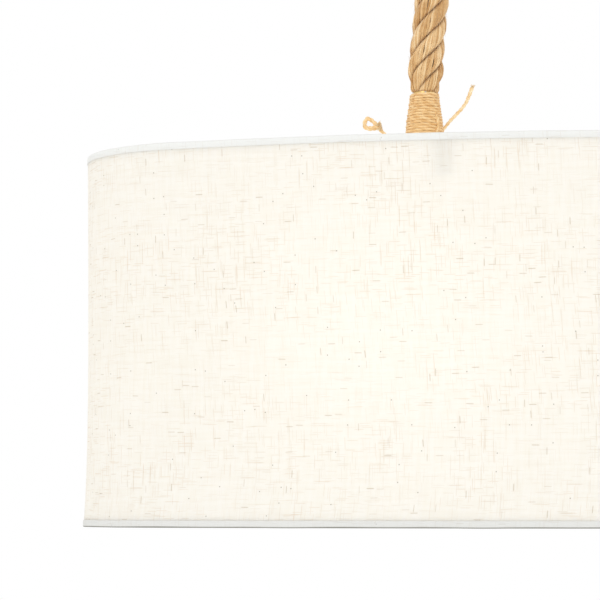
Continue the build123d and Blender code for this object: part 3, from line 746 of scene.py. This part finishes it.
def strand_outline(spin, crown, thick):
    """Where a yarn runs on its strand's outline: radius and turn round the rope's axis."""
    facing = np.cos(spin)
    groove = crown * GROOVE_SHARE
    outer = groove + (crown - thick - groove) * np.maximum(facing, 0) ** STRAND_FULLNESS
    inner = groove * (1 - GROOVE_UNDERCUT * np.maximum(-facing, 0))
    even = np.arcsin(np.sin(spin)) * 2 / math.pi  # keeps the yarns from bunching in the grooves
    return np.where(facing > 0, outer, inner), STRAND_REACH * (np.sin(spin) + even) / 2


def rope_piece(name, side, rng):
    """Four soft strands laid right-handed, each of yarns twisted the other way."""
    line = smooth_line(f"{name}_line", placed(ROPE_ROUTE, side, hand=-side))
    path = resample(line, ROPE_STEP)
    count = len(path)
    _, normals, binormals = carried_frames(path)
    along = arc_lengths(path)
    crown = crown_radius(path[:, 2] - SHADE_TOP)
    climb = 2 * math.pi / ROPE_LAY
    build = Build()
    tube(build, path, crown * CORE_SHARE, CORE_SIDES, 0.0)
    for strand in range(STRANDS):
        lay = ROPE_PHASE + 2 * math.pi * strand / STRANDS + climb * along
        for yarn in range(YARNS):
            start = 2 * math.pi * (yarn + rng.uniform(-0.25, 0.25)) / YARNS
            spin = start + YARN_SPIN * climb * along + wander(rng, count, 3, 0.05)
            thick = crown * YARN_SHARE * (1 + wander(rng, count, 6, 0.16))
            radius, turn = strand_outline(spin, crown, thick)
            radius = radius + wander(rng, count, 5, 0.00022)
            bearing = (lay + turn)[:, None]
            place = path + radius[:, None] * (np.cos(bearing) * normals + np.sin(bearing) * binormals)
            tube(build, place, thick, YARN_SIDES, rng.uniform(0.0, 1.0))
    add_hairs(build, path, crown, rng, ROPE_HAIRS, ROPE_HAIR_LENGTH, clear=ROPE_ENDS_BARE)
    build.shade_hollows(path, crown * ROPE_HOLLOWS_START, ROPE_HOLLOW_DEPTH)
    return build.object(name, ROPE), path


def add_hairs(build, path, radius, rng, number, longest, clear=3):
    """Stray fibres standing a little off a rope or binding."""
    tangents, normals, binormals = carried_frames(path)
    radius = np.broadcast_to(radius, (len(path),))
    for _ in range(number):
        at = rng.randrange(clear, len(path) - clear)
        turn = rng.uniform(0, 2 * math.pi)
        out = math.cos(turn) * normals[at] + math.sin(turn) * binormals[at]
        sideways = np.cross(tangents[at], out)
        start = path[at] + out * radius[at] * rng.uniform(0.84, 0.96)
        length = rng.uniform(0.25, 1.0) * longest
        lift = rng.uniform(0.05, 0.40)
        go = tangents[at] * rng.choice((-1, 1)) + sideways * rng.uniform(-0.5, 0.5) + out * lift
        go /= np.linalg.norm(go)
        bend = out * rng.uniform(-0.5, 0.3) + sideways * rng.uniform(-0.5, 0.5)
        steps = np.linspace(0, 1, 6)[:, None]
        hair = start + go * length * steps + bend * length * 0.5 * steps**2
        thick = rng.uniform(0.00005, 0.00010) * (1 - 0.75 * steps[:, 0])
        tube(build, hair, thick, HAIR_SIDES, rng.uniform(0.4, 1.0), capped=False)


def twine(build, path, rng, radius=TWINE_DIAMETER / 2, twist=TWINE_LAY, loose=0.0, apart=PLY_APART):
    """Two plies twisted round each other along a line, opening towards its end."""
    _, normals, binormals = carried_frames(path)
    along = arc_lengths(path)
    opening = 1 + loose * (along / along[-1]) ** 2
    offset = (radius * apart * opening)[:, None]
    ply = radius * (1.06 - apart) * opening**0.5
    tone = rng.uniform(0.35, 0.75)
    for start in (0, math.pi):
        angle = start + 2 * math.pi * along / twist
        ring = np.cos(angle)[:, None] * normals + np.sin(angle)[:, None] * binormals
        jitter = 1 + wander(rng, len(path), len(path) / 30, 0.07)
        tube(build, path + offset * ring, ply * jitter, PLY_SIDES, tone + rng.uniform(-0.25, 0.25))


FRAY_SUNK = 0.0015  # how far the fibres start inside the twine


def fray(build, tip, direction, rng, frayed):
    """Untwisted fibres fanning out of a twine's cut end."""
    direction = np.asarray(direction) / np.linalg.norm(direction)
    side = np.cross(direction, (0, 1.0, 0))
    side /= np.linalg.norm(side)
    other = np.cross(direction, side)
    for _ in range(frayed.number):
        a = rng.uniform(-2, 2) * frayed.spread
        b = rng.uniform(-1.4, 1.4) * frayed.spread
        reach = frayed.length * rng.uniform(0.55, 1.1)
        steps = np.linspace(0, 1, 7)[:, None]
        root = tip + (side * rng.uniform(-1, 1) + other * rng.uniform(-0.9, 0.9)) * frayed.scatter
        curl = (side * rng.uniform(-0.4, 0.4) + other * rng.uniform(-0.3, 0.3)) * reach
        line = root + (direction + side * a + other * b) * reach * steps + curl * steps**2
        line = line - direction * FRAY_SUNK
        thick = rng.uniform(0.00020, 0.00042) * (1 - 0.6 * steps[:, 0])
        tube(build, line, thick, FIBRE_SIDES, rng.uniform(0.3, 1.0))


def loose_end(name, route, side, rng, loose, frayed):
    """A twine's loose end along its route, and the frayed tip on it."""
    line = smooth_line(f"{name}_line", placed(route, side))
    path = resample(line, TWINE_STEP)
    build = Build()
    twine(build, path, rng, radius=LOOSE_RADIUS, loose=loose)
    tip = Build()
    fray(tip, path[-1], path[-1] - path[-6], rng, frayed)
    end = build.object(name, TWINE)
    brush = tip.object(f"{name}_fray", TWINE)
    for piece in (end, brush):
        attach(piece, "shade")
    return end, brush, path


def make_rope(name, side, rng):
    rope, rope_path = rope_piece(f"laid_rope_{name}", side, rng)
    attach(rope, f"rope_{name}")
    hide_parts(f"rope_{name}")


def make_loose_ends(name, side, rng):
    for kind, route, loose, frayed in LOOSE_ENDS:
        end, brush, path = loose_end(f"twine_{kind}_end_{name}", route, side, rng, loose, frayed)
        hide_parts(f"twine_{kind}_{name}")


def make_cords():
    for name, side in SIDES.items():
        rng = random.Random(11 + side)
        make_rope(name, side, rng)
        make_loose_ends(name, side, rng)


make_cords()

# ---- bindings ------------------------------------------------------------------------

BINDING_PITCH = 0.00235
WOUND_RADIUS = TWINE_DIAMETER * 0.51
WOUND_LAY = 0.0105
WOUND_APART = 0.20
STEPS_PER_TURN = 40
BINDING_START = 0.6  # angle where the twine's first turn starts
AXIS_POINTS = 40
BINDING_HAIRS = 90
BINDING_HAIR_LENGTH = 0.006
BINDING_HOLLOWS_START = 0.0005  # how far under its surface the binding starts to darken with painted shade
BINDING_HOLLOW_DEPTH = 0.0026
UPPER_BINDING_RADIUS = 0.0157
UPPER_BINDING_INSET = 0.001
CROSSING_BEARING = math.radians(-54)
CROSSING_LOW = 0.0225
CROSSING_HIGH = 0.0375
CROSSING_POINTS = 12
CROSSING_HUMP = 0.0009
CROSSING_SUNK = 0.0006
CROSSING_SWAY = 0.05

# The lower binding's outside: heights over the shade's top edge, and its radius at each.
WHIPPING_HEIGHTS = [0.010, 0.026, 0.034, 0.043, 0.050, 0.058]
WHIPPING_RADII = [0.0158, 0.0160, 0.0154, 0.0139, 0.0130, 0.0122]


def whipping_radius(height):
    """Outside radius of the lower binding at a height over the shade's top edge."""
    return np.interp(height, WHIPPING_HEIGHTS, WHIPPING_RADII)


def line_on_binding(centre_at, radius, angle, height):
    """The line at these radii and angles round a binding's leaning axis."""
    centre = np.array([centre_at(z) for z in height])
    line = [centre[:, 0] + radius * np.cos(angle), centre[:, 1] + radius * np.sin(angle), height]
    return np.column_stack(line), centre


def wound_line(centre_at, radius_at, low, high, rng):
    """The twine's line, wound round between two heights, and the axis it is wound on."""
    turns = (high - low - TWINE_DIAMETER) / BINDING_PITCH
    steps = int(turns * STEPS_PER_TURN)
    share = np.linspace(0, 1, steps)
    angle = 2 * math.pi * turns * share + BINDING_START
    height = low + TWINE_DIAMETER / 2 + (high - low - TWINE_DIAMETER) * share
    height = height + wander(rng, steps, turns / 3, 0.00008)
    radius = radius_at(height) - TWINE_DIAMETER / 2 + wander(rng, steps, turns / 2, 0.00022)
    path, centre = line_on_binding(centre_at, radius, angle, height)
    axis = np.column_stack([centre, height])[:: max(1, steps // AXIS_POINTS)]
    return path, axis


def crossing_line(centre_at, radius_at):
    """The twine's standing end, where it crosses over the turns beneath it."""
    height = np.linspace(CROSSING_LOW, CROSSING_HIGH, CROSSING_POINTS) + SHADE_TOP
    hump = CROSSING_HUMP * np.sin(np.linspace(0, math.pi, CROSSING_POINTS)) - CROSSING_SUNK
    angle = CROSSING_BEARING + CROSSING_SWAY * np.sin(np.linspace(0, 2.4, CROSSING_POINTS))
    path, _ = line_on_binding(centre_at, radius_at(height) + hump, angle, height)
    return resample(path, 0.0009)


def binding(name, centre_at, radius_at, low, high, rng, crossing=False):
    """Twine wound tightly round and round between two heights."""
    path, axis = wound_line(centre_at, radius_at, low, high, rng)
    build = Build()
    twine(build, path, rng, radius=WOUND_RADIUS, twist=WOUND_LAY, apart=WOUND_APART)
    if crossing:
        twine(build, crossing_line(centre_at, radius_at), rng)
    surface = radius_at(axis[:, 2])
    add_hairs(build, axis, surface, rng, BINDING_HAIRS, BINDING_HAIR_LENGTH)
    build.shade_hollows(axis, surface - BINDING_HOLLOWS_START, BINDING_HOLLOW_DEPTH)
    return build.object(name, TWINE)


def make_lower_binding(name, side, rng):
    lower = binding(
        f"lower_binding_{name}",
        lambda z: (side * STEM_X, 0.0),
        lambda z: whipping_radius(z - SHADE_TOP),
        WHIP_BASE,
        WHIP_TOP,
        rng,
        crossing=True,
    )
    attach(lower, "shade")
    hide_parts(f"whipping_{name}")


def make_upper_binding(name, side, rng):
    low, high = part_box(f"top_whipping_{name}")
    slope = (SWIVEL_X - STEM_X) / (SWIVEL_Z - WHIP_TOP)
    upper = binding(
        f"upper_binding_{name}",
        lambda z: (side * (SWIVEL_X + slope * (z - SWIVEL_Z)), 0.0),
        lambda z: UPPER_BINDING_RADIUS + 0 * z,
        low.z + UPPER_BINDING_INSET,
        high.z - UPPER_BINDING_INSET,
        rng,
    )
    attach(upper, f"rope_{name}")
    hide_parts(f"top_whipping_{name}")


def make_bindings():
    for name, side in SIDES.items():
        rng = random.Random(40 + side)
        make_lower_binding(name, side, rng)
        make_upper_binding(name, side, rng)


make_bindings()

# ---- shade ---------------------------------------------------------------------------

END_RADIUS = 0.110  # of the small arcs at the oval's ends
JUST_UNDER = 1e-9  # keeps the last point in the oval's last quarter
AROUND = 420  # points round the wall
WAIST = 0.0015  # how far the wall draws in between its rings
FLARE = 0.0026  # how far it spreads at its foot
FLARE_SHARPNESS = 7
LINEN_ROWS = 48
LINER_ROWS = 24
LINEN_SHORT = 0.0046  # how far the cover stops short of each edge, under the hems
LINER_SHORT = 0.0012
LINER_INSET = 0.0009
LINEN_LAP = 0.0006  # how far the cover's lapped end stands off at the back
LAP_POINTS = 3  # how many points of the lap stand off

# The hem's section from its outer edge round to its tucked one: distance out of the wall, distance
# in from the shade's edge, and how much of the fold's shade it takes.
HEM_PROFILE = [
    (0.0001, 0.0056, 0.0),
    (0.0004, 0.0051, 0.0),
    (0.0005, 0.0012, 0.05),
    (0.0004, 0.0005, 0.9),
    (-0.0002, 0.0001, 1.0),
    (-0.0012, 0.0000, 0.9),
    (-0.0034, 0.0002, 0.5),
    (-0.0054, 0.0010, 0.3),
    (-0.0065, 0.0030, 0.2),
    (-0.0060, 0.0052, 0.1),
    (-0.0042, 0.0064, 0.1),
    (-0.0020, 0.0066, 0.1),
]
HEM_RIPPLE = 0.00022
HEM_CLOTH_SHIFT = 0.31  # so that the hem's streaks don't carry on the cover's
LEAST_BOTTOM_SHADE = 0.25
TOP_SHADE_SHARE = 0.2


def oval_points(grow, count):
    """Points round the oval, starting at the middle of the back, evenly spaced."""
    a = HALF_LENGTH + grow
    b = HALF_DEPTH + grow
    end = END_RADIUS + grow
    long = ((a - end) ** 2 + b**2 - end**2) / (2 * (b - end))
    reach = math.atan2(a - end, long - b)  # half the long arc's angle
    long_arc = long * reach
    end_arc = end * (math.pi - 2 * reach) / 2
    quarter = long_arc + end_arc
    along = np.linspace(0, 4 * quarter, count)
    points = np.empty((count, 2))
    for index, distance in enumerate(along):
        lap, rest = divmod(min(distance, 4 * quarter - JUST_UNDER), quarter)
        if lap % 2:
            rest = quarter - rest
        if rest < long_arc:
            turn = rest / long
            x, y = long * math.sin(turn), long * math.cos(turn) - (long - b)
        else:
            turn = reach + (rest - long_arc) / end
            x, y = (a - end) + end * math.sin(turn), end * math.cos(turn)
        points[index] = (-x if lap < 2 else x, y if lap in (0, 3) else -y)
    return points, along


def wall_offset(share):
    """How far the wall stands out of the top edge's outline, from its top, 0, to its foot, 1."""
    waist = -WAIST * math.sin(0.75 * math.pi * share)
    return waist + FLARE * share**FLARE_SHARPNESS


def sheet_piece(build, inset, short, rows, lap=0.0):
    """A sheet wrapped round the wall, short of both edges and lapped at the back."""
    high = SHADE_TOP - short
    low = SHADE_BOTTOM + short
    points, uvs = [], []
    for row in range(rows + 1):
        z = high + (low - high) * row / rows
        grow = wall_offset((SHADE_TOP - z) / SHADE_HEIGHT) - inset
        ring, along = oval_points(grow, AROUND)
        for index, (x, y) in enumerate(ring):
            points.append((x, y + lap * max(0.0, 1 - index / LAP_POINTS), z))
            uvs.append((along[index], SHADE_TOP - z))
    faces = [(here, below, past, beside) for here, beside, past, below in cells(rows, AROUND)]
    build.add(points, faces, [uvs[i] for face in faces for i in face])
    return along[-1]


def hem_tone(shade, inward):
    """The bottom hem takes some of the fold's shade all over, and the top one hardly any."""
    return max(shade, LEAST_BOTTOM_SHADE) if inward > 0 else shade * TOP_SHADE_SHARE


def hem_piece(name, edge, inward):
    """Linen rolled over the wall's edge and round the wire ring, tucked behind it."""
    build = Build()
    points, tones, uvs = [], [], []
    base = wall_offset((SHADE_TOP - edge) / SHADE_HEIGHT)
    length = 0.0
    for step, (out, back, shade) in enumerate(HEM_PROFILE):
        ring, along = oval_points(base + out, AROUND)
        z = edge + inward * back
        if step:
            length += math.dist((out, back), HEM_PROFILE[step - 1][:2])
        for index, (x, y) in enumerate(ring):
            ripple = HEM_RIPPLE * math.sin(along[index] * 61.0) * math.sin(along[index] * 23.7 + 1)
            points.append((x, y, z + (ripple if 0.0 < back < 0.005 else 0.0)))
            tones.append(hem_tone(shade, inward))
            uvs.append((along[index] + HEM_CLOTH_SHIFT, length))
    faces = list(cells(len(HEM_PROFILE) - 1, AROUND))
    if inward > 0:
        faces = [tuple(reversed(face)) for face in faces]
    build.add(points, faces, [uvs[i] for face in faces for i in face])
    build.tones = tones
    piece = build.object(name, HEM)
    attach(piece, "shade")
    return piece


def make_cover():
    """The linen cover. Gives its piece and its length round the wall."""
    linen = Build()
    round_length = sheet_piece(linen, 0.0, LINEN_SHORT, LINEN_ROWS, LINEN_LAP)
    cover = linen.object("linen_cover", LINEN)
    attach(cover, "shade")
    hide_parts("shade_linen")
    return cover, round_length


def make_liner():
    liner = Build()
    sheet_piece(liner, LINER_INSET, LINER_SHORT, LINER_ROWS)
    backing = liner.object("stiff_liner", LINER)
    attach(backing, "shade")
    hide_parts("shade_liner")


def make_shade():
    cover, round_length = make_cover()
    make_liner()
    top = hem_piece("rolled_hem_top", SHADE_TOP, -1)
    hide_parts("hem_top")
    bottom = hem_piece("rolled_hem_bottom", SHADE_BOTTOM, 1)
    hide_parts("hem_bottom")


make_shade()
dress_cad_nodes()

# ---- stage and light -----------------------------------------------------------------

FLOOR_REACH = 40.0
FLOOR_HEIGHT = -4.20
FLOOR_STEPS = 12
KEY_PLACE = (-1.4, -2.6, 0.5)
KEY_AIM = (0.2, 0.0, -0.4)
KEY_SIZE = (1.6, 1.2)
KEY_POWER = 11.0
KEY_COLOUR = (0.93, 0.97, 1.0)
LAMP_POWER = 0.42
LAMP_COLOUR = (1.0, 0.97, 0.93)
LAMP_SIZE = 0.022
LAMP_OVER_BULB_FOOT = 0.032


def floor_material():
    n = Nodes("floor")
    grain = n.noise(n.place(), 3.0, 2.0)
    colour = n.mix(grain, rgb(246, 246, 245), rgb(250, 250, 249))
    return n.finish(n.principled(colour, 0.8))


def make_stage():
    build = Build()
    points = []
    for i in range(FLOOR_STEPS + 1):
        for j in range(FLOOR_STEPS + 1):
            x = FLOOR_REACH * (2 * i / FLOOR_STEPS - 1)
            y = FLOOR_REACH * (2 * j / FLOOR_STEPS - 1)
            points.append((x, y, FLOOR_HEIGHT))
    faces = [(here, below, past, beside) for here, beside, past, below in cells(FLOOR_STEPS, FLOOR_STEPS + 1)]
    build.add(points, faces, [(0, 0)] * 4 * len(faces))
    floor = build.object("floor", floor_material())


def make_world():
    world = bpy.data.worlds.new("studio")
    world.use_nodes = True
    background = world.node_tree.nodes["Background"]
    background.inputs["Color"].default_value = (1, 1, 1, 1)
    background.inputs["Strength"].default_value = 1.0
    bpy.context.scene.world = world
    bpy.context.scene.view_settings.view_transform = "Standard"


def make_key():
    """A broad soft light at the front left, over the camera."""
    data = bpy.data.lights.new("key", "AREA")
    data.shape = "RECTANGLE"
    data.size, data.size_y = KEY_SIZE
    data.energy = KEY_POWER
    data.color = KEY_COLOUR
    key = bpy.data.objects.new("key", data)
    key.location = KEY_PLACE
    aim = np.array(KEY_AIM) - np.array(key.location)
    pitch = math.acos(aim[2] / np.linalg.norm(aim)) - math.pi
    key.rotation_euler = (pitch, 0, math.atan2(aim[0], -aim[1]))
    bpy.context.scene.collection.objects.link(key)


def make_lamps():
    """The light that each bulb gives. It drops with its bulb."""
    for name, side in SIDES.items():
        data = bpy.data.lights.new(f"lamp_{name}", "POINT")
        data.energy = LAMP_POWER
        data.color = LAMP_COLOUR
        data.shadow_soft_size = LAMP_SIZE
        lamp = bpy.data.objects.new(f"lamp_{name}", data)
        lamp.location = (side * STEM_X, 0, BULB_LOW.z + LAMP_OVER_BULB_FOOT)
        lamp.visible_camera = False
        bpy.context.scene.collection.objects.link(lamp)
        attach(lamp, f"bulb_{name}")


make_stage()
make_world()
make_key()
make_lamps()
